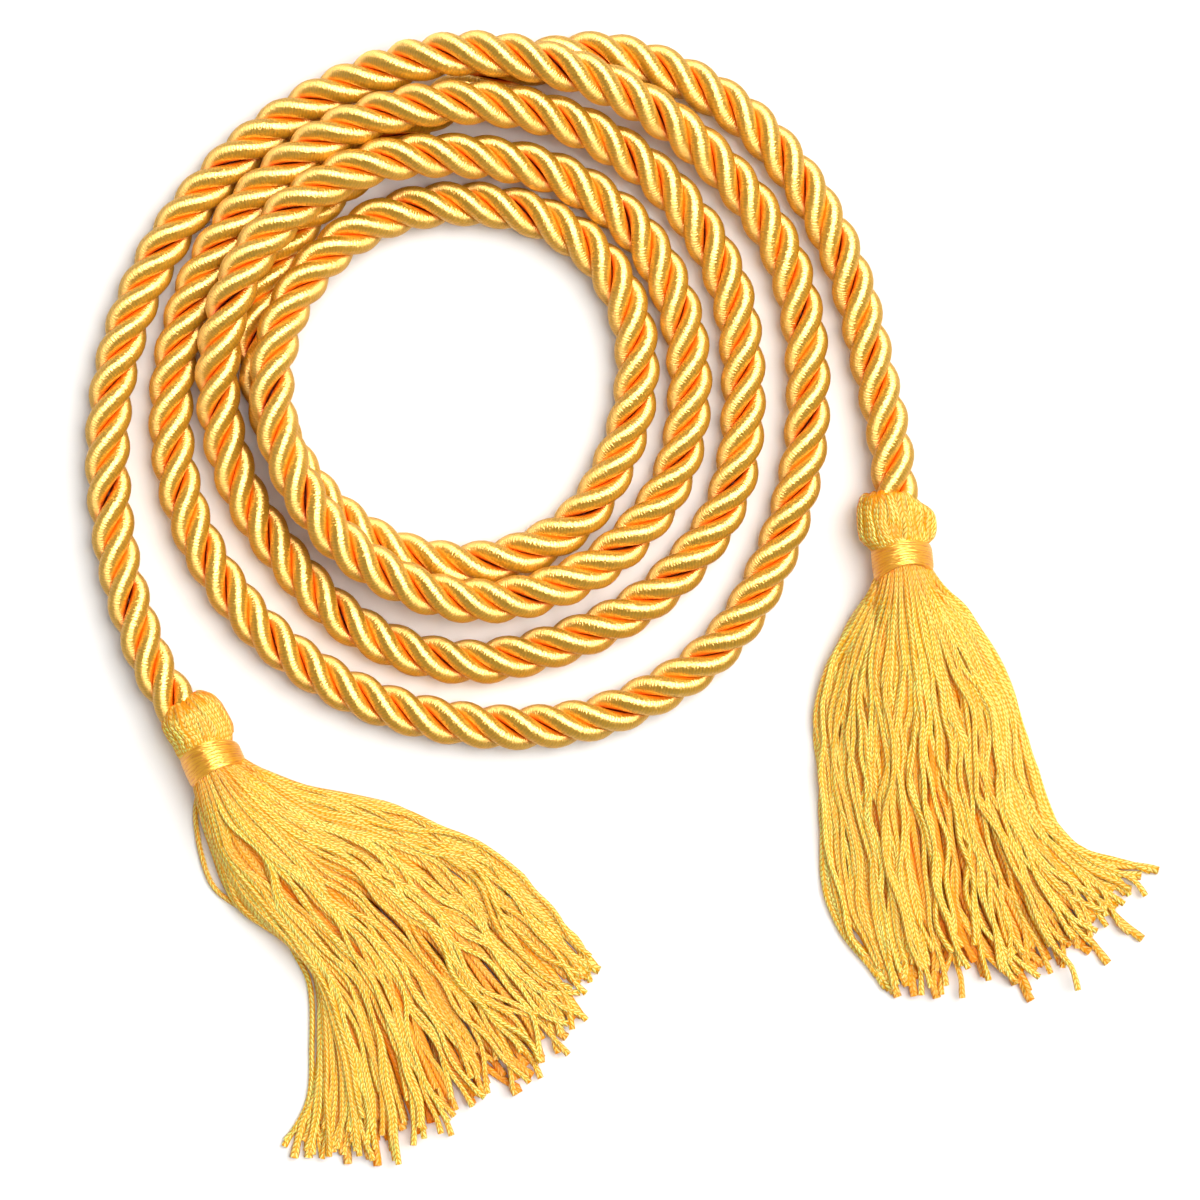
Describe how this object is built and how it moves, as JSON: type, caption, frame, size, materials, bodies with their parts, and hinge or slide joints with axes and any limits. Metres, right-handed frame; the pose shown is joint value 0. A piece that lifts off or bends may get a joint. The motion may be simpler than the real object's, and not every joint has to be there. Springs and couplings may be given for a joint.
{
  "type": "honor cord",
  "caption": "Shiny gold twisted rope cord lying in a loose round coil, with a bound tassel of long threads at each end.",
  "frame": {"origin": "middle of the box round the two tassels, on the surface that the cord lies on", "axes": "+Z up off the surface, +X to the right and +Y up as the coil is seen from above"},
  "size_m": [0.2141, 0.2252, 0.0182],
  "materials": {
    "rope_gimp": "satin rayon gimp twisted in three plies",
    "tassel_thread": "semi-gloss knitted rayon thread",
    "binding_thread": "satin rayon thread, closely wound"
  },
  "bodies": {
    "root": {"rope": "rope_gimp", "tassel_left": "tassel_thread", "band_left": "binding_thread", "tassel_right": "tassel_thread", "band_right": "binding_thread"}
  },
  "joints": []
}
